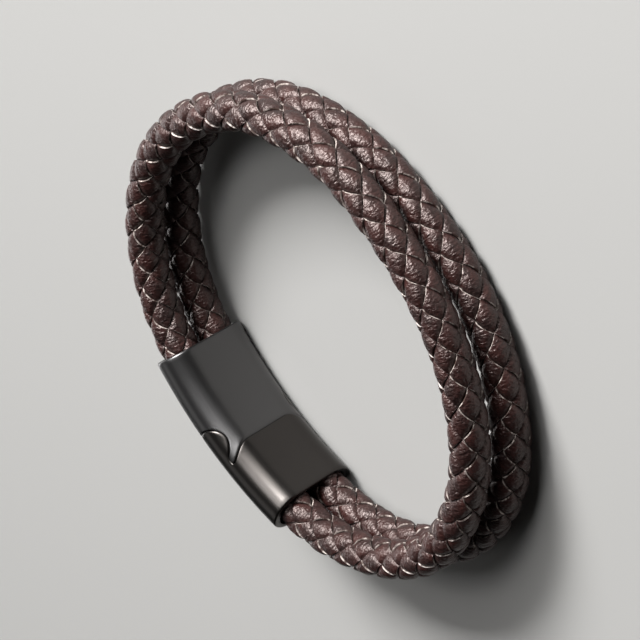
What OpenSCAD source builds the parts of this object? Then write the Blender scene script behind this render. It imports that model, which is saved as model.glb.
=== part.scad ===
// Two-strand plaited leather bracelet with a hooked clasp in two halves.
// Millimetres, +Z up. The bracelet lies on its side with the clasp at +Y, and the
// origin is the middle of its footprint on the surface that it lies on.

/* [Leather cords] */
// Outer diameter of each plaited cord
cord_d = 6.0; // [5.6:0.1:6.0]
// Distance between the centre lines of the two cords
pair_spacing = 6.35; // [6.35:0.05:6.6]
// Facets round each cord
cord_sides = 20; // [12:2:20]
// Rings of facets from one row of the loop table to the next
rings_per_row = 9; // [4:1:9]

/* [Loop] */
// Distance from the centre of the loop to the middle of the clasp
clasp_reach = 31.6; // [30.6:0.1:33]
// Added to every radius, for a smaller or a larger wrist
wrist_grow = 0; // [-3:0.5:6]

/* [Clasp] */
// Length of the closed clasp along its bend
clasp_l = 29.6; // [28:0.2:32]
// Width of the clasp across the two cords
clasp_w = 14.7; // [14.6:0.1:16]
// Thickness of the clasp, whose narrow sides are fully round
clasp_t = 7.6; // [7.5:0.1:8.4]
// Radius of the clasp's bend, measured at its middle
bend_r = 54; // [48:1:70]
// Lean of the clasp's width off upright, in degrees
clasp_lean = 4; // [0:1:8]
// Chamfer round each open end
end_chamfer = 0.3; // [0.1:0.05:0.4]
// Depth of the pocket that holds the cords in each half
pocket_depth = 8; // [6:0.5:8.5]
// Clearance all round the cords in their pockets
cord_fit = 0.12; // [0.1:0.01:0.15]

/* [Clasp seam] */
// Radius of the tongue's round lobe
lobe_r = 2.9; // [2.6:0.1:3.1]
// Place of the lobe's centre along the clasp, from its middle
lobe_x = -0.3; // [-1:0.1:1]
// Thickness of the hook that wraps the lobe
hook_t = 1.25; // [1.1:0.05:1.4]
// How far short of the clasp's mid-thickness the hook's tip stops
hook_tip = 1.5; // [1.2:0.1:1.8]
// Gap between the two halves
seam_gap = 0.12; // [0.08:0.02:0.2]

/* [Hidden] */

$fn = 96;
cord_r = cord_d / 2;
half_l = clasp_l / 2;
reach = clasp_reach + wrist_grow;

// Colours of the two materials
leather_brown = [0.24, 0.14, 0.12];
gunmetal = [0.20, 0.20, 0.21];

// The loop from the hook half's mouth round to the tongue half's mouth, a row at each
// twelfth of that turn: radius from the centre, and lean of the pair off upright
RADIUS = 0;
LEAN = 1;
loop_rows = [
    [34.8, 4],
    [35.6, 2],
    [35.1, 6],
    [34.5, 9],
    [33.0, 8],
    [31.4, -2],
    [31.6, -11],
    [32.5, -15],
    [34.1, -18],
    [35.3, -10],
    [34.9, -6],
];

// Where the bend of the clasp ends and the free loop starts
mouth_bend = half_l / bend_r * 180 / PI;
mouth = [bend_r * sin(mouth_bend), reach - bend_r * (1 - cos(mouth_bend))];
mouth_angle = atan2(mouth.x, mouth.y);
mouth_radius = norm(mouth);
row_count = len(loop_rows) + 1;
row_angle = (360 - 2 * mouth_angle) / row_count;
mouth_slope = mouth_radius * tan(mouth_angle - mouth_bend) * row_angle * PI / 180;

radii = concat(mouth_radius, [for (row = loop_rows) row[RADIUS] + wrist_grow], mouth_radius);
leans = concat(clasp_lean, [for (row = loop_rows) row[LEAN]], clasp_lean);

// A smooth curve through evenly spaced values, with its slope given at both ends
function smooth(values, first_slope, last_slope, t) =
    let (
        last = len(values) - 1,
        i = min(floor(t), last - 1),
        x = t - i,
        slope_a = i == 0 ? first_slope : (values[i + 1] - values[i - 1]) / 2,
        slope_b = i == last - 1 ? last_slope : (values[i + 2] - values[i]) / 2
    )
    (2 * pow(x, 3) - 3 * pow(x, 2) + 1) * values[i]
    + (pow(x, 3) - 2 * pow(x, 2) + x) * slope_a
    + (3 * pow(x, 2) - 2 * pow(x, 3)) * values[i + 1]
    + (pow(x, 3) - pow(x, 2)) * slope_b;

// Middle of the pair of cords on the free loop, t rows from the hook half's mouth
function free_point(t) =
    let (
        angle = mouth_angle + t * row_angle,
        radius = smooth(radii, mouth_slope, -mouth_slope, t)
    )
    radius * [sin(angle), cos(angle)];

// Direction that faces away from the centre of the loop there
function free_outward(t) =
    let (run = free_point(min(t + 0.02, row_count)) - free_point(max(t - 0.02, 0)))
    [-run.y, run.x] / norm(run);

function free_station(t) =
    [free_point(t), free_outward(t), smooth(leans, 0, 0, t)];

// The same inside the clasp, at an angle round the clasp's bend
function clasp_station(bend) = [
    [bend_r * sin(bend), reach - bend_r * (1 - cos(bend))],
    [sin(bend), cos(bend)],
    clasp_lean,
];

pocket_bend = (half_l - pocket_depth + 0.2) / bend_r * 180 / PI;
pocket_rings = 3;
pocket_step = (mouth_bend - pocket_bend) / pocket_rings;

// Every ring of a cord: [middle of the pair, outward direction, lean]
POINT = 0;
OUTWARD = 1;
TILT = 2;
stations = concat(
    [for (i = [0 : pocket_rings - 1]) clasp_station(pocket_bend + i * pocket_step)],
    [for (i = [0 : row_count * rings_per_row]) free_station(i / rings_per_row)],
    [for (i = [1 : pocket_rings]) clasp_station(-mouth_bend + i * pocket_step)]
);

// Centre of one cord at a station; side is 1 for the upper cord and -1 for the lower
function cord_centre(station, side) =
    let (
        outward = station[OUTWARD],
        off = side * pair_spacing / 2
    )
    [
        station[POINT].x + off * sin(station[TILT]) * outward.x,
        station[POINT].y + off * sin(station[TILT]) * outward.y,
        off * cos(station[TILT]),
    ];

function cord_ring(station, side) =
    let (
        centre = cord_centre(station, side),
        outward = station[OUTWARD]
    )
    [for (i = [0 : cord_sides - 1])
        let (turn = 360 * i / cord_sides)
        centre + cord_r * [cos(turn) * outward.x, cos(turn) * outward.y, sin(turn)]];

// How the loop lies: the clasp's lower edge and the far side of the lower cord touch
round_r = clasp_t / 2;
round_off = clasp_w / 2 - round_r;
far_cord = cord_centre(free_station(row_count / 2), -1);
edge_y = mouth.y - round_off * sin(clasp_lean) * cos(mouth_bend);
edge_z = -round_off * cos(clasp_lean);
rest_tilt = atan((far_cord.z - edge_z + round_r - cord_r) / (edge_y - far_cord.y));

function tilted(p) = [
    p.x,
    p.y * cos(rest_tilt) - p.z * sin(rest_tilt),
    p.y * sin(rest_tilt) + p.z * cos(rest_tilt),
];

cord_points = [for (side = [1, -1]) for (s = stations) for (p = cord_ring(s, side)) tilted(p)];
xs = [for (p = cord_points) p.x];
ys = [for (p = cord_points) p.y];
zs = [for (p = cord_points) p.z];
clasp_low = tilted([0, edge_y, edge_z]).z - round_r;
clasp_out = tilted([0, reach + round_off * sin(clasp_lean), round_off * cos(clasp_lean)]).y + round_r;
seat_shift = [
    -(max(xs) + min(xs)) / 2,
    -(clasp_out + min(ys)) / 2,
    -min(clasp_low, min(zs)),
];

// Lays a piece on the surface that the bracelet rests on
module seated() {
    translate(seat_shift)
        rotate([rest_tilt, 0, 0])
            children();
}

// One plaited cord, from its end in one pocket round to its end in the other
module plaited_cord(side) {
    last = len(stations) - 1;
    points = [for (s = stations) for (p = cord_ring(s, side)) p];
    walls = [
        for (i = [0 : last - 1])
            for (j = [0 : cord_sides - 1])
                let (
                    a = i * cord_sides + j,
                    b = i * cord_sides + (j + 1) % cord_sides
                )
                each [[a, b, a + cord_sides], [b, b + cord_sides, a + cord_sides]]
    ];
    first_cap = [for (j = [cord_sides - 1 : -1 : 0]) j];
    last_cap = [for (j = [0 : cord_sides - 1]) last * cord_sides + j];
    polyhedron(points = points, faces = concat(walls, [first_cap], [last_cap]), convexity = 10);
}

// Outline with two full round ends, thickness along X and width along Y
module round_ended(thickness, width) {
    off = (width - thickness) / 2;
    square([thickness, 2 * off], center = true);
    for (side = [1, -1])
        translate([0, side * off])
            circle(d = thickness);
}

// A round-ended section swept along the clasp's bend, between two angles of it
module bent_bar(thickness, width, bend_from, bend_to) {
    translate([0, reach - bend_r, 0])
        rotate([0, 0, 90 - bend_to])
            rotate_extrude(angle = bend_to - bend_from)
                translate([bend_r, 0])
                    rotate(-clasp_lean)
                        round_ended(thickness, width);
}

// Puts a piece at one end of the clasp, with +X out of the mouth and +Z across the cords
module at_mouth(end) {
    translate([end * bend_r * sin(mouth_chamfer_bend), reach - bend_r * (1 - cos(mouth_chamfer_bend)), 0])
        rotate([0, 0, -end * mouth_chamfer_bend])
            rotate([-clasp_lean, 0, 0])
                mirror([end < 0 ? 1 : 0, 0, 0])
                    children();
}

mouth_chamfer_bend = (half_l - end_chamfer) / bend_r * 180 / PI;

// The chamfered last stretch of the clasp's body, on a core that reaches into the body
module mouth_chamfer() {
    core_r = round_r - end_chamfer;
    root_l = 0.5;
    for (side = [1, -1])
        translate([0, 0, side * round_off])
            rotate([0, 90, 0]) {
                cylinder(r1 = round_r, r2 = core_r, h = end_chamfer);
                translate([0, 0, -root_l])
                    cylinder(r = core_r, h = root_l + end_chamfer);
            }
    translate([0, 0, -round_off])
        linear_extrude(2 * round_off)
            polygon([
                [-root_l, -core_r],
                [0, -core_r],
                [0, -round_r],
                [end_chamfer, -core_r],
                [end_chamfer, core_r],
                [0, round_r],
                [0, core_r],
                [-root_l, core_r],
            ]);
}

// Outer body of half the clasp's length and a little more; end is 1 or -1
module clasp_body(end) {
    overlap = lobe_r + hook_t + 2;
    overlap_bend = overlap / bend_r * 180 / PI;
    bent_bar(
        clasp_t,
        clasp_w,
        end > 0 ? -overlap_bend : -mouth_chamfer_bend,
        end > 0 ? mouth_chamfer_bend : overlap_bend
    );
    at_mouth(end)
        mouth_chamfer();
}

// The pocket that the cord ends are fixed in, open at the mouth
module cord_pocket(end) {
    pocket_t = cord_d + 2 * cord_fit;
    pocket_w = pair_spacing + pocket_t;
    floor_bend = (half_l - pocket_depth) / bend_r * 180 / PI;
    past_bend = (half_l + 1) / bend_r * 180 / PI;
    bent_bar(
        pocket_t,
        pocket_w,
        end > 0 ? floor_bend : -past_bend,
        end > 0 ? past_bend : -floor_bend
    );
}

// Side view of the tongue half at the seam, drawn back by inset on every side:
// a round lobe under the other half's hook, and a step across the outer face
module tongue_profile(inset) {
    reach_back = clasp_l;
    tall = clasp_t + 4;
    translate([lobe_x, 0]) {
        difference() {
            translate([-reach_back, -tall / 2])
                square([reach_back, tall]);
            intersection() {
                difference() {
                    circle(r = lobe_r + hook_t + inset);
                    circle(r = lobe_r - inset);
                }
                translate([-reach_back, -tall])
                    square([2 * reach_back, tall - hook_tip + inset]);
            }
        }
        circle(r = lobe_r - inset);
        translate([-0.5, 0])
            square([lobe_r + 0.5 - inset, tall / 2]);
    }
}

// The same, run right across the clasp's width
module tongue_block(inset) {
    translate([0, reach, 0])
        rotate([-clasp_lean, 0, 0])
            linear_extrude(2 * clasp_w, center = true)
                tongue_profile(inset);
}

// Half whose hook wraps the lobe
module clasp_hook_half() {
    color(gunmetal)
        seated()
            difference() {
                clasp_body(1);
                tongue_block(-seam_gap / 2);
                cord_pocket(1);
            }
}

// Half that carries the round lobe
module clasp_tongue_half() {
    color(gunmetal)
        seated()
            difference() {
                intersection() {
                    clasp_body(-1);
                    tongue_block(seam_gap / 2);
                }
                cord_pocket(-1);
            }
}

module cord_upper() {
    color(leather_brown)
        seated()
            plaited_cord(1);
}

module cord_lower() {
    color(leather_brown)
        seated()
            plaited_cord(-1);
}

cord_upper();
cord_lower();
clasp_hook_half();
clasp_tongue_half();
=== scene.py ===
import math

import bpy
import numpy as np
from mathutils import Matrix, Vector
from mathutils.geometry import delaunay_2d_cdt


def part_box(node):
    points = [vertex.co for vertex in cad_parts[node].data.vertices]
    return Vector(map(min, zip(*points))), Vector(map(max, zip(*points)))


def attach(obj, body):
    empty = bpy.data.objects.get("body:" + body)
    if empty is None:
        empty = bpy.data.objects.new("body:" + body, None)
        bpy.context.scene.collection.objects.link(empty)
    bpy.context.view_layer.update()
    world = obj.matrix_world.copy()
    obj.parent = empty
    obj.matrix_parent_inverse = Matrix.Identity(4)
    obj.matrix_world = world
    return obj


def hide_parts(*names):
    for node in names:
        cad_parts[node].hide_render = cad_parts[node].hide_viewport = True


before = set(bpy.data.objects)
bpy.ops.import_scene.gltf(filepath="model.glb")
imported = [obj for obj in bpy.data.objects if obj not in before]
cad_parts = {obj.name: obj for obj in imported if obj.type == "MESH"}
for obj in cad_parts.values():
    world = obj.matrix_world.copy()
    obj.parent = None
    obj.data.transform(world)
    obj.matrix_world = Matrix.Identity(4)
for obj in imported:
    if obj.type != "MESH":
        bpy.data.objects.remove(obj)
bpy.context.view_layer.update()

# The room
# A pale matt table under soft studio lights, seen by a long lens from the near side and
# above. The camera is turned on its axis, so the bracelet stands on end in the picture.

# The bracelet's sizes are in mm throughout, and the table's and the lights' in metres
MM = 0.001
TABLE_SIZE = 6.0
PICTURE_PX = 640
FOCAL_PX = 3600
SENSOR = 36.0
# Place and turn of the camera, in mm and degrees
EYE = (-90.7, -426.5, 276.6)
EYE_TURN = (-38.85, 47.44, -149.80)


def linear(colour):
    """An sRGB hex colour as the linear values that a shader works in, with full alpha."""
    parts = [int(colour[i:i + 2], 16) / 255 for i in (1, 3, 5)]
    return [c / 12.92 if c <= 0.04045 else ((c + 0.055) / 1.055) ** 2.4 for c in parts] + [1.0]


def new_material(name):
    """An empty node material, and its tree."""
    material = bpy.data.materials.new(name)
    material.use_nodes = True
    material.node_tree.nodes.clear()
    return material, material.node_tree


def add_node(tree, kind, settings=None, **inputs):
    """Adds a shader node, with its settings, and its inputs as values or as links. An input goes by
    its name, with _ for a space, or by its number after a _, as in _0."""
    node = tree.nodes.new(kind)
    for name, value in (settings or {}).items():
        setattr(node, name, value)
    for name, value in inputs.items():
        socket = node.inputs[int(name[1:]) if name[1:].isdigit() else name.replace("_", " ")]
        if isinstance(value, bpy.types.NodeSocket):
            tree.links.new(value, socket)
        else:
            socket.default_value = value
    return node


def table_top():
    """Matt pale card: no grain and no gloss."""
    bpy.ops.object.select_all(action="DESELECT")
    bpy.ops.mesh.primitive_plane_add(size=TABLE_SIZE, location=(0, 0, 0))
    plane = bpy.context.object
    plane.name = "table"
    material, tree = new_material("matt_card")
    shader = add_node(tree, "ShaderNodeBsdfPrincipled", Base_Color=linear("#949391"), Roughness=0.9)
    add_node(tree, "ShaderNodeOutputMaterial", Surface=shader.outputs[0])
    plane.data.materials.append(material)


def camera():
    """A long lens at the photograph's angle to the bracelet."""
    data = bpy.data.cameras.new("camera")
    data.sensor_width = SENSOR
    data.lens = FOCAL_PX * SENSOR / PICTURE_PX
    data.clip_start = 0.01
    eye = bpy.data.objects.new("camera", data)
    eye.location = [c * MM for c in EYE]
    eye.rotation_euler = [math.radians(a) for a in EYE_TURN]
    bpy.context.scene.collection.objects.link(eye)
    bpy.context.scene.camera = eye


def softbox(name, direction, distance, size, power):
    """A soft light that faces the bracelet from a direction, with its width and height."""
    light = bpy.data.lights.new(name, "AREA")
    light.shape = "RECTANGLE"
    light.size, light.size_y = size
    light.energy = power
    lamp = bpy.data.objects.new(name, light)
    away = np.array(direction, float) / np.linalg.norm(direction)
    lamp.location = away * distance
    lamp.rotation_euler = Vector(away).to_track_quat("Z", "Y").to_euler()
    bpy.context.scene.collection.objects.link(lamp)


def studio():
    """A dim room, a strong light from the near right, a tall one and a small one that the clasp
    reflects, and two weak ones from behind."""
    world = bpy.data.worlds.new("studio")
    world.use_nodes = True
    room = world.node_tree.nodes["Background"]
    room.inputs["Color"].default_value = linear("#f0eeec")
    room.inputs["Strength"].default_value = 0.02
    bpy.context.scene.world = world
    softbox("key", (0.75, -0.5, 0.55), distance=1.2, size=(0.4, 0.4), power=43)
    softbox("strip", (0.42, -0.71, 0.58), distance=1.2, size=(0.36, 0.95), power=5.5)
    softbox("gloss", (0.4, -0.25, 0.85), distance=1.2, size=(0.4, 0.4), power=4)
    softbox("back", (0.15, 0.65, 0.75), distance=1.4, size=(0.8, 0.6), power=1)
    softbox("rear", (0.6, 0.8, 0.13), distance=1.2, size=(0.9, 0.3), power=3.5)


table_top()
camera()
studio()
bpy.context.scene.view_settings.view_transform = "Standard"

# The two plaited leather cords
# Each is a round plait of eight flat leather laces over a cotton core, four wound each way
# and laid over one and under one. The laces are cut from dyed hide, so their edges are pale.

CORD_R = 3.0
PAIR_SPACING = 6.35
REST_TILT = 1.1
REST = np.array(Matrix.Rotation(math.radians(REST_TILT), 3, "X"))
# The loop from the hook half's mouth round to the lobe half's: radius in mm, lean in degrees
LOOP_ROWS = [
    (34.8, 4),
    (35.6, 2),
    (35.1, 6),
    (34.5, 9),
    (33.0, 8),
    (31.4, -2),
    (31.6, -11),
    (32.5, -15),
    (34.1, -18),
    (35.3, -10),
    (34.9, -6),
]
LOOP_POINTS = 1200
# Between the mouths the route follows the clasp: how far out its middle lies, its half-length,
# its bend and lean, and how much of a cord is in its pocket
CLASP_REACH = 31.6
CLASP_HALF = 14.8
CLASP_BEND = 54.0
CLASP_LEAN = 4.0
POCKET_RUN = 7.2
POCKET_POINTS = 30

# Each row: a run along the cord in mm, the angle of a column of scales from outward in degrees,
# and the run in mm by which the crossings lag there
UPPER_PLAIT = [
    (0, 96, 4.15),
    (17, 92, 4.4),
    (25, 91, 4.6),
    (33, 92, 5.15),
    (46, 92, 5.3),
    (57, 91, 5.25),
    (65, 87, 5.2),
    (75, 83, 5.1),
    (87, 76, 5.3),
    (100, 68, 5.35),
    (112, 63, 5.15),
    (125, 62, 5.3),
    (138, 64, 5.65),
    (146, 73, 5.0),
    (152, 87, 4.9),
    (160, 99, 4.2),
    (168, 102, 4.2),
    (182, 104, 4.3),
]
LOWER_PLAIT = [
    (0, -15, 58.7),
    (56, 6, 58.9),
    (67, 15, 59.1),
    (75, 20, 58.8),
    (82, 18, 58.4),
    (95, 17, 58.6),
    (114, 24, 58.9),
    (125, 25, 59.1),
    (133, 27, 59.1),
    (140, 34, 58.9),
    (156, 56, 58.9),
    (162, 70, 58.7),
    (183, 80, 58.7),
]
# The run from one scale of a column to the next, with the laces at 45 degrees to the cord
PITCH = 4.794
LACES_EACH_WAY = 4
CROWN_R = 3.05
LACE_W = 3.2
# What a lace's width gains from mid-height to its top, where it is drawn narrow
LACE_SWELL = -0.24
LACE_T = 0.95
# A lace's section: the rise of its domed top as a part of its thickness, and places on its top,
# the lean of its pale cut and the reach of its underside as parts of its half-width
LACE_DOME = 0.2
LACE_TOP = (-1.0, -0.7, -0.3, 0.3, 0.7, 1.0)
CUT_LEAN = 0.05
LACE_UNDERSIDE = 0.94
# Height of the pale cut at the rim of a lace; below it the wall takes the hide's dark dye, partly as
# painted shade in the gap under the rim
CUT_SHOWN = 0.22
# How far a lace goes up over the next and down under it, from its mid-height
LACE_SWING = 0.48
# How sharply a lace dives under the next: 1 is a plain wave, more is a flat crown and a steep dive
LACE_DIVE = 1.7
# Where a lace's wave starts to take painted shade into the fold, darker and duller, and over how much of
# it
FOLD_SHADE_FROM = 0.3
FOLD_SHADE_OVER = 0.9
RINGS_PER_PITCH = 22
# How far rings are drawn towards the dives, in mm
RING_CROWD = 0.13
# How uneven a lace is: as a part of its width and in mm of its height, over waves from the
# shorter to the longer of these lengths in mm
UNEVEN = 0.04
UNEVEN_WAVES = (5.0, 13.0)
# What sets a lace's random draw for its height apart from the one for its width
HEIGHT_SEED = 20
# How far apart on the hide the laces' patterns are taken, in mm
HIDE_STEP = 60
# How much short of the ends of its route a lace stops
LACE_END = 0.3
CORE_R = 1.75
CORE_RINGS = 300
CORE_SIDES = 12
SMOOTH_LACES = 35

# The creases are drawn about twice as coarse as real ones, so that they show
CREASE_GAP = 0.42
CREASE_RUN = 0.85
CREASE_DEPTH = 0.25
PEBBLE_W = 0.45
PEBBLE_DEPTH = -0.25
DYE_CLOUD = 3.0
CUT_PATCH = 0.9


def loop_values(values, end_slopes, t):
    """A smooth curve through evenly spaced values, with its slope given at both ends."""
    v = np.array(values, float)
    slope = np.empty(len(v))
    slope[1:-1] = (v[2:] - v[:-2]) / 2
    slope[0], slope[-1] = end_slopes
    i = np.clip(np.floor(t).astype(int), 0, len(v) - 2)
    x = t - i
    return (
        (2 * x**3 - 3 * x**2 + 1) * v[i]
        + (x**3 - 2 * x**2 + x) * slope[i]
        + (3 * x**2 - 2 * x**3) * v[i + 1]
        + (x**3 - x**2) * slope[i + 1]
    )


def pair_route():
    """Middle of the pair of cords, the outward direction and the lean, pocket to pocket."""
    bend = CLASP_HALF / CLASP_BEND
    mouth = CLASP_BEND * math.sin(bend), CLASP_REACH - CLASP_BEND * (1 - math.cos(bend))
    start = math.atan2(mouth[0], mouth[1])
    reach = math.hypot(*mouth)
    rows = len(LOOP_ROWS) + 1
    step = (2 * math.pi - 2 * start) / rows
    slope = reach * math.tan(start - bend) * step
    t = np.linspace(0, rows, LOOP_POINTS)
    radius = loop_values([reach] + [row[0] for row in LOOP_ROWS] + [reach], (slope, -slope), t)
    lean = loop_values([CLASP_LEAN] + [row[1] for row in LOOP_ROWS] + [CLASP_LEAN], (0, 0), t)
    turn = start + t * step
    free = np.stack([radius * np.sin(turn), radius * np.cos(turn)], 1)
    inside = np.linspace((CLASP_HALF - POCKET_RUN) / CLASP_BEND, bend, POCKET_POINTS, endpoint=False)
    arc = np.stack([CLASP_BEND * np.sin(inside), CLASP_REACH - CLASP_BEND * (1 - np.cos(inside))], 1)
    middle = np.vstack([arc, free, (arc * [-1, 1])[::-1]])
    run = np.gradient(middle, axis=0)
    outward = np.stack([-run[:, 1], run[:, 0]], 1) / np.linalg.norm(run, axis=1)[:, None]
    in_pocket = np.full(POCKET_POINTS, CLASP_LEAN)
    return middle, outward, np.radians(np.concatenate([in_pocket, lean, in_pocket]))


def cord_route(side):
    """One cord's centre line in the part's frame, its outward and upward directions, and the
    run along it from the hook half's mouth; side is 1 for the upper cord, -1 for the lower."""
    middle, outward, lean = pair_route()
    off = side * PAIR_SPACING / 2
    centre = np.column_stack([middle + off * np.sin(lean)[:, None] * outward, off * np.cos(lean)])
    out = np.column_stack([outward, np.zeros(len(outward))]) @ REST.T
    up = np.tile([0.0, 0.0, 1.0], (len(outward), 1)) @ REST.T
    centre = centre @ REST.T
    run = np.concatenate([[0], np.cumsum(np.linalg.norm(np.diff(centre, axis=0), axis=1))])
    return centre, out, up, run - run[POCKET_POINTS]


def seat_shift():
    """What brings the tilted loop to where the CAD model of the upper cord lies."""
    centre = cord_route(1)[0]
    low, high = [np.array(corner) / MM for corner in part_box("cord_upper")]
    return (low + high - centre.min(0) - centre.max(0)) / 2


SEAT = seat_shift()


def on_cord(route, along, angle, radius):
    """Points of a cord, given their run along it, their angle round from outward, and their radius."""
    centre, out, up, run = route
    place = [np.interp(along, run, centre[:, i]) for i in range(3)]
    out_there = [np.interp(along, run, out[:, i]) for i in range(3)]
    up_there = [np.interp(along, run, up[:, i]) for i in range(3)]
    c, s = radius * np.cos(angle), radius * np.sin(angle)
    return np.stack([place[i] + c * out_there[i] + s * up_there[i] for i in range(3)], -1)


def lace_section():
    """Outline of a lace across its width, as parts of its half-width and as mm above its
    underside, and which of its sides are cut edge. The cut leans out a little as it goes down."""
    top = [(x, LACE_T * (1.0 - LACE_DOME * x * x)) for x in LACE_TOP]
    rim = LACE_T * (1.0 - LACE_DOME)
    wall = [(1.0 + CUT_LEAN, rim - CUT_SHOWN), (LACE_UNDERSIDE, 0.0)]
    outline = np.array(top + wall + [(-x, h) for x, h in reversed(wall)])
    cut = np.zeros(len(outline), bool)
    cut[[len(top) - 1, -1]] = True
    return outline, cut


def uneven(seed, along):
    """Slow hand-made unevenness of a lace along its run, between -1 and 1."""
    dice = np.random.default_rng(seed)
    waves = dice.uniform(*UNEVEN_WAVES, 3)
    starts = dice.uniform(0, 2 * np.pi, 3)
    return np.sin(2 * np.pi * along[:, None] / waves + starts).mean(1)


def lay_lace(route, plait, hand, on_top, place):
    """One lace's points, their places on the hide and how much painted fold shade they take, ring by
    ring, and its cut sides. Hand is 1 or -1 for the way it winds, on_top is 1 where it starts over
    the next lace and -1 where it starts under, and place is its number among its hand's laces."""
    run = route[3]
    number = place + (LACES_EACH_WAY if hand > 0 else 0)
    rings = int((run[-1] - run[0]) / PITCH * RINGS_PER_PITCH)
    steps = np.linspace(run[0] + LACE_END, run[-1] - LACE_END, rings)
    beat = (steps - np.interp(steps, plait[:, 0], plait[:, 2])) / PITCH
    along = steps + RING_CROWD * np.sin(4 * np.pi * beat)
    beat = (along - np.interp(along, plait[:, 0], plait[:, 2])) / PITCH
    plain = np.cos(2 * np.pi * beat) * on_top
    wave = np.tanh(LACE_DIVE * plain) / math.tanh(LACE_DIVE)
    outline, cut = lace_section()
    half = (LACE_W + LACE_SWELL * plain) / 2 * (1 + UNEVEN * uneven(number, along))
    v = half[:, None] * outline[None, :, 0]
    dip = LACE_SWING * (1 - wave)
    under = CROWN_R - LACE_T - dip - UNEVEN * (1 + uneven(number + HEIGHT_SEED, along))
    radius = under[:, None] + outline[None, :, 1]
    column = np.radians(np.interp(along, plait[:, 0], plait[:, 1]))
    angle = column + (hand * beat + place) * 2 * math.pi / LACES_EACH_WAY
    angle = angle[:, None] + v / math.sqrt(2) / CORD_R
    s = np.clip(along[:, None] - hand * v / math.sqrt(2), run[0], run[-1])
    skin = np.stack([s + HIDE_STEP * number, angle * CORD_R], -1)
    # Painted shade: as the lace dives into the fold under the next, it is marked to be drawn darker and
    # duller
    fold_shade = np.tile(np.clip((FOLD_SHADE_FROM - wave) / FOLD_SHADE_OVER, 0, 1)[:, None], (1, len(outline)))
    return on_cord(route, s, angle, radius), skin, fold_shade, cut


def tube_faces(base, rings, sides):
    """Quads of a tube of rings, each with the side that it lies on, and its two ends."""
    i = np.arange(rings - 1)[:, None] * sides + base
    j = np.arange(sides)[None, :]
    k = (j + 1) % sides
    quads = np.stack([i + j, i + k, i + k + sides, i + j + sides], -1).reshape(-1, 4).tolist()
    last = base + (rings - 1) * sides
    ends = [list(range(base + sides - 1, base - 1, -1)), list(range(last, last + sides))]
    return quads, np.tile(np.arange(sides), rings - 1), ends


def lay_up(route, plait, falling_on_top):
    """All of a cord's points in mm, with their places on the hide and their painted fold shade, its
    faces, and which of them are cut edge: eight laces, then the core that they hide, which takes the
    full painted fold shade. With falling_on_top the laces of hand -1 start on top, and otherwise
    those of hand 1."""
    points, skins, fold_shades, faces, cut_faces = [], [], [], [], []
    for hand in (1, -1):
        on_top = 1 if (hand < 0) == falling_on_top else -1
        for place in range(LACES_EACH_WAY):
            lace, skin, fold_shade, cut = lay_lace(route, plait, hand, on_top, place)
            quads, around, ends = tube_faces(sum(len(p) for p in points), *lace.shape[:2])
            points.append(lace.reshape(-1, 3))
            skins.append(skin.reshape(-1, 2))
            fold_shades.append(fold_shade.ravel())
            faces += quads + ends
            cut_faces += cut[around].tolist() + [True, True]
    run = route[3]
    along = np.linspace(run[0] + LACE_END, run[-1] - LACE_END, CORE_RINGS)[:, None]
    turn = np.linspace(0, 2 * np.pi, CORE_SIDES, endpoint=False)[None, :]
    quads, _, ends = tube_faces(sum(len(p) for p in points), CORE_RINGS, CORE_SIDES)
    points.append(on_cord(route, along, turn, CORE_R + 0 * along).reshape(-1, 3))
    skins.append(np.zeros((CORE_RINGS * CORE_SIDES, 2)))
    # The core takes the full painted fold shade, so it is drawn near black where it shows between laces
    fold_shades.append(np.ones(CORE_RINGS * CORE_SIDES))
    faces += quads + ends
    cut_faces += [False] * (len(quads) + 2)
    return np.vstack(points), np.vstack(skins), np.concatenate(fold_shades), faces, cut_faces


def new_piece(name, points, faces):
    """A piece of the scene from its points in mm and its faces."""
    mesh = bpy.data.meshes.new(name)
    mesh.from_pydata((points * MM).tolist(), [], faces)
    piece = bpy.data.objects.new(name, mesh)
    bpy.context.scene.collection.objects.link(piece)
    return piece


def close_and_smooth(piece, smooth_under, merge=None):
    """Turns a piece's faces outwards and smooths its bends under an angle in degrees. With a merge
    distance in mm, points nearer than that are joined first."""
    bpy.ops.object.select_all(action="DESELECT")
    piece.select_set(True)
    bpy.context.view_layer.objects.active = piece
    bpy.ops.object.mode_set(mode="EDIT")
    bpy.ops.mesh.select_all(action="SELECT")
    if merge:
        bpy.ops.mesh.remove_doubles(threshold=merge * MM)
        bpy.ops.mesh.delete_loose()
        bpy.ops.mesh.select_all(action="SELECT")
    bpy.ops.mesh.normals_make_consistent(inside=False)
    bpy.ops.object.mode_set(mode="OBJECT")
    bpy.ops.object.shade_smooth_by_angle(angle=math.radians(smooth_under))


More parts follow.
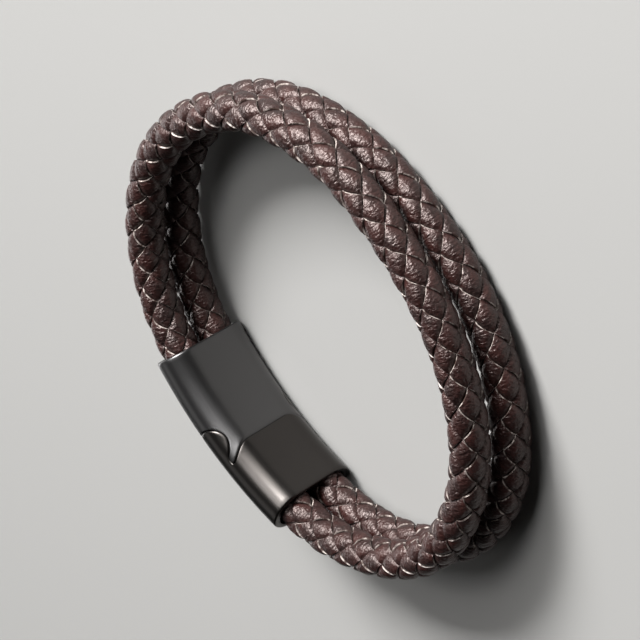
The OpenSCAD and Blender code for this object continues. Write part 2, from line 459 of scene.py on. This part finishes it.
def glazed_hide():
    """Dyed cowhide, glazed on the grain side: its skin wrinkles where the laces bend, and the
    glaze breaks up into small highlights on the wrinkles. Down in the folds painted shade makes it
    dark, and it is duller there."""
    material, tree = new_material("glazed_hide")
    skin = add_node(tree, "ShaderNodeUVMap", {"uv_map": "skin"}).outputs["UV"]
    drawn = add_node(tree, "ShaderNodeMapping", Vector=skin, Scale=(1 / CREASE_GAP, 1 / CREASE_RUN, 1.0))
    crease = add_node(tree, "ShaderNodeTexNoise", Vector=drawn.outputs[0], Scale=1.0, Detail=2.0,
                      Roughness=0.55, Distortion=0.4)
    pebble = add_node(tree, "ShaderNodeTexVoronoi", {"feature": "F1"}, Vector=skin, Scale=1 / PEBBLE_W)
    height = add_node(tree, "ShaderNodeMath", {"operation": "MULTIPLY_ADD"},
                      _0=pebble.outputs["Distance"], _1=PEBBLE_DEPTH, _2=crease.outputs["Fac"])
    bump = add_node(tree, "ShaderNodeBump", Strength=1.0, Distance=CREASE_DEPTH * MM,
                    Height=height.outputs[0])
    cloud = add_node(tree, "ShaderNodeTexNoise", Vector=skin, Scale=1 / DYE_CLOUD, Detail=3.0)
    dye = add_node(tree, "ShaderNodeValToRGB", Fac=cloud.outputs["Fac"])
    dye.color_ramp.elements[0].position = 0.35
    dye.color_ramp.elements[1].position = 0.65
    dye.color_ramp.elements[0].color = linear("#190908")
    dye.color_ramp.elements[1].color = linear("#2c120f")
    # Painted shade: the deeper in a fold, the nearer the dye is mixed to black, and the duller the hide
    fold_shade = add_node(tree, "ShaderNodeAttribute", {"attribute_name": "fold_shade"})
    painted_fold_shade = add_node(tree, "ShaderNodeMix", {"data_type": "RGBA"}, _0=fold_shade.outputs["Fac"],
                    _6=dye.outputs[0], _7=linear("#0b0505"))
    dull = add_node(tree, "ShaderNodeMapRange", Value=fold_shade.outputs["Fac"], To_Min=0.44, To_Max=0.75)
    shader = add_node(tree, "ShaderNodeBsdfPrincipled", Base_Color=painted_fold_shade.outputs["Result"],
                      Roughness=dull.outputs[0], Normal=bump.outputs[0])
    shader.inputs["Specular IOR Level"].default_value = 0.77
    shader.inputs["Specular Tint"].default_value = linear("#f6e5e0")
    add_node(tree, "ShaderNodeOutputMaterial", Surface=shader.outputs[0])
    return material


def raw_cut_edge():
    """The raw cut edge of a lace: fibres that the dye has only partly taken, pale and matt."""
    material, tree = new_material("raw_cut_edge")
    skin = add_node(tree, "ShaderNodeUVMap", {"uv_map": "skin"}).outputs["UV"]
    patch = add_node(tree, "ShaderNodeTexNoise", Vector=skin, Scale=1 / CUT_PATCH, Detail=3.0,
                     Roughness=0.6)
    fibre = add_node(tree, "ShaderNodeValToRGB", Fac=patch.outputs["Fac"])
    fibre.color_ramp.elements[0].position = 0.42
    fibre.color_ramp.elements[1].position = 0.6
    fibre.color_ramp.elements[0].color = linear("#3e2f2a")
    fibre.color_ramp.elements[1].color = linear("#b8ada6")
    shader = add_node(tree, "ShaderNodeBsdfPrincipled", Base_Color=fibre.outputs[0], Roughness=0.5)
    add_node(tree, "ShaderNodeOutputMaterial", Surface=shader.outputs[0])
    return material


def plaited_cord(name, node, side, plait, falling_on_top, leather):
    """Eight laces and their core as one mesh, in place of a cord of the CAD model; leather is the
    material of its hide and that of its cut edges."""
    centre, out, up, run = cord_route(side)
    route = centre + SEAT, out, up, run
    points, skins, fold_shades, faces, cut_faces = lay_up(route, np.array(plait, float), falling_on_top)
    cord = new_piece(name, points, faces)
    mesh = cord.data
    corners = np.empty(len(mesh.loops), int)
    mesh.loops.foreach_get("vertex_index", corners)
    mesh.uv_layers.new(name="skin").data.foreach_set("uv", skins[corners].ravel())
    # The painted fold shade goes to the shader as a point attribute
    mesh.attributes.new("fold_shade", "FLOAT", "POINT").data.foreach_set("value", fold_shades)
    for material in leather:
        mesh.materials.append(material)
    mesh.polygons.foreach_set("material_index", np.array(cut_faces, int))
    close_and_smooth(cord, SMOOTH_LACES)
    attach(cord, "root")
    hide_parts(node)


LEATHER = glazed_hide(), raw_cut_edge()
plaited_cord("plaited_cord_upper", "cord_upper", 1, UPPER_PLAIT, True, LEATHER)
plaited_cord("plaited_cord_lower", "cord_lower", -1, LOWER_PLAIT, False, LEATHER)

# The clasp
# Two cast steel halves, satin-brushed along their length and plated black-grey. The hook of one
# wraps the round lobe of the other. The cords are glued into a pocket in each half.

ROUND_R = 3.8
ROUND_OFF = 3.55
GIRTH = 4 * ROUND_OFF + 2 * math.pi * ROUND_R
POCKET_R = 3.12
POCKET_OFF = 3.175
POCKET_DEPTH = 8.0
LIP_ROUND = 0.3
POCKET_LIP = 0.1
LIP_STEPS = 3
LOBE_R = 2.9
LOBE_X = -0.3
HOOK_T = 1.25
HOOK_TIP = 1.5
SEAM_GAP = 0.12
SEAM_EASE = 0.2
EASE_STEPS = 3
# The seam is drawn finely, then thinned to even points, and its corners are rounded by some passes
LOBE_BACK_STEPS = 200
UNDER_LOBE_STEPS = 400
HOOK_BACK_STEPS = 300
JUST_OVER_LOBE = 0.01
SEAM_POINTS = 72
FACE_POINTS = 6
CORNER_PASSES = 4
GIRTH_POINTS = 60
# The skin's points lie this far apart, and a first row of them this far from the seam
SKIN_STEP = 0.7
SKIN_MARGIN = 0.2
# How near the others may come to that row, and to the seam's and the mouth's edge, in steps
ROW_ROOM = 0.6
EDGE_ROOM = 0.5
MERGE_GAP = 0.004
SMOOTH_CLASP = 40
# Real brush lines are about 0.05 mm apart, and these are drawn coarser so that they show
BRUSH_GAP = 0.11
BRUSH_RUN = 6.0
BRUSH_DEPTH = 0.003
BRUSH_SHEEN = 0.05


def on_clasp(local):
    """Points of the clasp, given along its bend, out from its mid-thickness and across its width."""
    along, out, across = np.moveaxis(np.asarray(local, float), -1, 0)
    lean = math.radians(CLASP_LEAN)
    bend = along / CLASP_BEND
    radius = CLASP_BEND + out * math.cos(lean) + across * math.sin(lean)
    y = CLASP_REACH - CLASP_BEND + radius * np.cos(bend)
    z = across * math.cos(lean) - out * math.sin(lean)
    return np.stack([radius * np.sin(bend), y, z], -1) @ REST.T + SEAT


def on_section(girth, round_r=ROUND_R, round_off=ROUND_OFF):
    """A place round the clasp's section, from the middle of its outer face, as out and across. The
    section is two flat faces joined by two half-rounds."""
    short_way = np.minimum(girth, GIRTH - girth)
    turn = np.clip((short_way - ROUND_OFF) / ROUND_R, 0, math.pi)
    past_round = short_way - ROUND_OFF - math.pi * ROUND_R
    flat = np.clip(short_way, 0, ROUND_OFF) - np.clip(past_round, 0, ROUND_OFF)
    side = np.where(girth > GIRTH / 2, -1, 1)
    return round_r * np.cos(turn), side * (flat * round_off / ROUND_OFF + round_r * np.sin(turn))


def seam_line(inset):
    """Half of the seam round the clasp, from the middle of its outer face to the middle of its
    inner face: along, girth, and the wall's direction out of the lobe's half. Seen from the side it
    goes down the lobe's back, round under it, across the hook's tip and along the hook's back."""
    lobe, back, tip = LOBE_R - inset, LOBE_R + HOOK_T + inset, HOOK_TIP - inset
    # The curve stops just short of the inner face, and its last point is then put on the face
    inner_face = 0.999 * ROUND_R
    under = np.linspace(0, math.asin(tip / lobe) - math.pi, UNDER_LOBE_STEPS)
    behind = np.linspace(math.asin(tip / back) - math.pi, math.asin(inner_face / back) - math.pi,
                         HOOK_BACK_STEPS)
    x = np.concatenate([np.full(LOBE_BACK_STEPS, lobe), lobe * np.cos(under), back * np.cos(behind)])
    x += LOBE_X
    y = np.concatenate([np.linspace(ROUND_R, JUST_OVER_LOBE, LOBE_BACK_STEPS), lobe * np.sin(under),
                        back * np.sin(behind)])
    along = np.arctan2(x, CLASP_BEND + y) * CLASP_BEND
    out = np.clip(np.hypot(x, CLASP_BEND + y) - CLASP_BEND, -ROUND_R, ROUND_R)
    out[0], out[-1] = ROUND_R, -ROUND_R
    wall = np.stack([-np.gradient(y), np.gradient(x)], -1)
    wall /= np.linalg.norm(wall, axis=1)[:, None]
    girth = ROUND_OFF + ROUND_R * np.arccos(out / ROUND_R)
    length = np.concatenate([[0], np.cumsum(np.hypot(np.diff(along), np.diff(girth)))])
    even = np.linspace(0, length[-1], SEAM_POINTS)
    side = np.stack([np.interp(even, length, v) for v in (along, girth, wall[:, 0], wall[:, 1])], -1)
    for _ in range(CORNER_PASSES):
        side[1:-1] = (side[:-2] + 2 * side[1:-1] + side[2:]) / 4
    outer = np.tile(side[0], (FACE_POINTS, 1))
    outer[:, 1] = np.linspace(0, ROUND_OFF, FACE_POINTS, endpoint=False)
    inner = np.tile(side[-1], (FACE_POINTS, 1))
    inner[:, 1] = GIRTH / 2 - outer[::-1, 1]
    return np.vstack([outer, side, inner])


def eased_edge(line, half):
    """Rings over the rounded edge of the seam, from the skin of a half to the seam's wall, the first
    of them unrolled, and a line beside that one; half is 1 for the hook's half, -1 for the lobe's."""
    mirrored = line[-2:0:-1] * [1, -1, 1, 1] + [0, GIRTH, 0, 0]
    along, girth, wall_x, wall_y = np.vstack([line, mirrored]).T
    out, across = on_section(girth)
    edge = np.stack([along, out, across], -1)
    step = np.roll(edge, -1, 0) - np.roll(edge, 1, 0)
    step /= np.linalg.norm(step, axis=1)[:, None]
    normal = np.stack([0 * out, out, across - np.clip(across, -ROUND_OFF, ROUND_OFF)], -1) / ROUND_R
    wall = np.stack([wall_x, wall_y, 0 * wall_x], -1) * -half
    over = np.cross(normal, step)
    over *= -np.sign((over * wall).sum(1))[:, None]
    down = np.cross(wall, step)
    down *= -np.sign((down * normal).sum(1))[:, None]
    rings = [
        edge + SEAM_EASE * ((1 - math.sin(turn)) * over + (1 - math.cos(turn)) * down)
        for turn in np.linspace(0, math.pi / 2, EASE_STEPS + 1)
    ]
    run = np.stack([np.roll(v, -1) - np.roll(v, 1) for v in (along, girth)], -1)
    run[[0, -1], 1] += GIRTH
    inward = np.stack([run[:, 1], -run[:, 0]], -1) / np.linalg.norm(run, axis=1)[:, None] * half
    flat = np.stack([along, girth], -1) + SEAM_EASE * inward
    beside = flat + SKIN_MARGIN * inward
    out, across = on_section(np.clip(flat[:, 1], 0, GIRTH))
    rings[0] = np.stack([flat[:, 0], out, across], -1)
    return rings, flat, beside


def clear_of(points, line, gap):
    """Which points are further than a gap from every point of a line."""
    return np.sqrt(((points[:, None] - line[None]) ** 2).sum(-1)).min(1) > gap


def skin_mesh(seam, beside, mouth):
    """The outer skin of a half, from its eased seam to its mouth. It is filled while unrolled, slit
    along the middle of the outer face, where merging closes it later."""
    girths = np.linspace(0, GIRTH, GIRTH_POINTS + 1)
    steps = int(abs(mouth - seam[0, 0]) / SKIN_STEP)
    slit = np.linspace(seam[0, 0], mouth, steps + 1)
    top = np.stack([slit[:-1], np.full(steps, GIRTH)], -1)
    rim = np.stack([np.full(len(girths), mouth), girths[::-1]], -1)
    bottom = np.stack([slit[-2:0:-1], np.zeros(steps - 1)], -1)
    border = np.vstack([seam, top, rim, bottom])
    low, high = sorted((mouth, -math.copysign(LOBE_R + HOOK_T, mouth)))
    grid = np.array([(a, g) for a in np.arange(low, high, SKIN_STEP) for g in girths[1:-1]])
    kept = clear_of(grid, beside, SKIN_STEP * ROW_ROOM)
    kept &= clear_of(grid, seam, SKIN_MARGIN + SKIN_STEP * EDGE_ROOM)
    kept &= abs(grid[:, 0] - mouth) > SKIN_STEP * EDGE_ROOM
    points = [Vector(v) for v in np.vstack([border, beside[1:], grid[kept]])]
    around = list(range(len(border)))
    if mouth > 0:
        around.reverse()
    inside_only, near = 1, 1e-6
    verts, _, faces = delaunay_2d_cdt(points, [], [around], inside_only, near)[:3]
    verts = np.array(verts)
    out, across = on_section(np.clip(verts[:, 1], 0, GIRTH))
    return np.stack([verts[:, 0], out, across], -1), [list(f) for f in faces]


def mouth_rings(half):
    """Rings over the rounded lip of the mouth, down the pocket's wall to its floor."""
    girths = np.linspace(0, GIRTH, GIRTH_POINTS, endpoint=False)
    turns = np.linspace(0, math.pi / 2, LIP_STEPS + 1)
    lip = [(LIP_ROUND * (1 - math.sin(t)), ROUND_R - LIP_ROUND * (1 - math.cos(t))) for t in turns]
    inner = [(POCKET_LIP * (1 - math.cos(t)), POCKET_R + POCKET_LIP * (1 - math.sin(t))) for t in turns]
    shape = [(depth, round_r, ROUND_OFF) for depth, round_r in lip]
    shape += [(depth, round_r, POCKET_OFF) for depth, round_r in inner + [(POCKET_DEPTH, POCKET_R)]]
    rings = []
    for depth, round_r, round_off in shape:
        out, across = on_section(girths, round_r, round_off)
        rings.append(np.stack([np.full(len(girths), half * (CLASP_HALF - depth)), out, across], -1))
    return rings


def seam_wall(first, count):
    """Faces that fill the seam's wall between its two mirrored sides, and one face at each end.
    First is the number of the wall's first point, and count is how many it has."""
    start, stop = FACE_POINTS + 1, FACE_POINTS + SEAM_POINTS - 2
    cells = [[h, h + 1, count - h - 1, count - h] for h in range(start, stop)]
    cells.append(list(range(start, -1, -1)) + list(range(count - 1, count - start - 1, -1)))
    cells.append(list(range(stop, count - stop + 1)))
    return [[first + h for h in cell] for cell in cells]


def brushed_gunmetal(name, colour, roughness):
    """Black-grey plated steel, satin-brushed lengthwise: soft broad reflections that run along
    the clasp, with faint lines in them."""
    bend_axis = (SEAT + REST @ [0, CLASP_REACH - CLASP_BEND, 0])[1]
    material, tree = new_material(name)
    place = add_node(tree, "ShaderNodeTexCoord").outputs["Object"]
    centred = add_node(tree, "ShaderNodeMapping", Vector=place, Location=(0, -bend_axis, 0),
                       Scale=(1 / MM, 1 / MM, 1 / MM))
    axes = add_node(tree, "ShaderNodeSeparateXYZ", Vector=centred.outputs[0])
    flat = add_node(tree, "ShaderNodeCombineXYZ", X=axes.outputs["X"], Y=axes.outputs["Y"])
    radius = add_node(tree, "ShaderNodeVectorMath", {"operation": "LENGTH"}, Vector=flat.outputs[0])
    bend = add_node(tree, "ShaderNodeMath", {"operation": "ARCTAN2"}, _0=axes.outputs["X"],
                    _1=axes.outputs["Y"])
    lines_at = add_node(tree, "ShaderNodeCombineXYZ", X=bend.outputs[0], Y=radius.outputs["Value"],
                        Z=axes.outputs["Z"])
    drawn = add_node(tree, "ShaderNodeMapping", Vector=lines_at.outputs[0],
                     Scale=(CLASP_BEND / BRUSH_RUN, 1 / BRUSH_GAP, 1 / BRUSH_GAP))
    lines = add_node(tree, "ShaderNodeTexNoise", Vector=drawn.outputs[0], Scale=1.0, Detail=2.0,
                     Roughness=0.6)
    bump = add_node(tree, "ShaderNodeBump", Strength=1.0, Distance=BRUSH_DEPTH * MM,
                    Height=lines.outputs["Fac"])
    dull = add_node(tree, "ShaderNodeMapRange", Value=lines.outputs["Fac"],
                    To_Min=roughness - BRUSH_SHEEN, To_Max=roughness + BRUSH_SHEEN)
    shader = add_node(tree, "ShaderNodeBsdfPrincipled", Base_Color=linear(colour), Metallic=1.0,
                      Roughness=dull.outputs[0], Normal=bump.outputs[0])
    add_node(tree, "ShaderNodeOutputMaterial", Surface=shader.outputs[0])
    return material


def clasp_half(name, node, half, finish):
    """A half of the clasp: its skin, its eased seam and the seam's wall, its lip and its pocket. The
    eased edge follows the seam over the rounds, so it is built up ring by ring."""
    line = seam_line(-half * SEAM_GAP / 2)
    seam, flat, beside = eased_edge(line, half)
    points, faces = skin_mesh(flat, beside, half * (CLASP_HALF - LIP_ROUND))
    wall = len(points) + EASE_STEPS * len(flat)
    for rings in (seam, mouth_rings(half)):
        faces += tube_faces(len(points), len(rings), len(rings[0]))[0]
        points = np.vstack([points] + rings)
    pocket_floor = list(range(len(points) - GIRTH_POINTS, len(points)))
    faces += [pocket_floor] + seam_wall(wall, len(flat))
    piece = new_piece(name, on_clasp(points), faces)
    close_and_smooth(piece, SMOOTH_CLASP, MERGE_GAP)
    piece.data.materials.append(finish)
    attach(piece, "root")
    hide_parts(node)


# The halves share one plating but are coloured apart, partly as painted reflection: the hook's half
# paler and duller, the lobe's darker and shinier
clasp_half("hook_half", "clasp_hook_half", 1, brushed_gunmetal("gunmetal_painted_paler", "#5b5a5a", 0.34))
clasp_half("lobe_half", "clasp_tongue_half", -1, brushed_gunmetal("gunmetal_painted_darker", "#454240", 0.3))
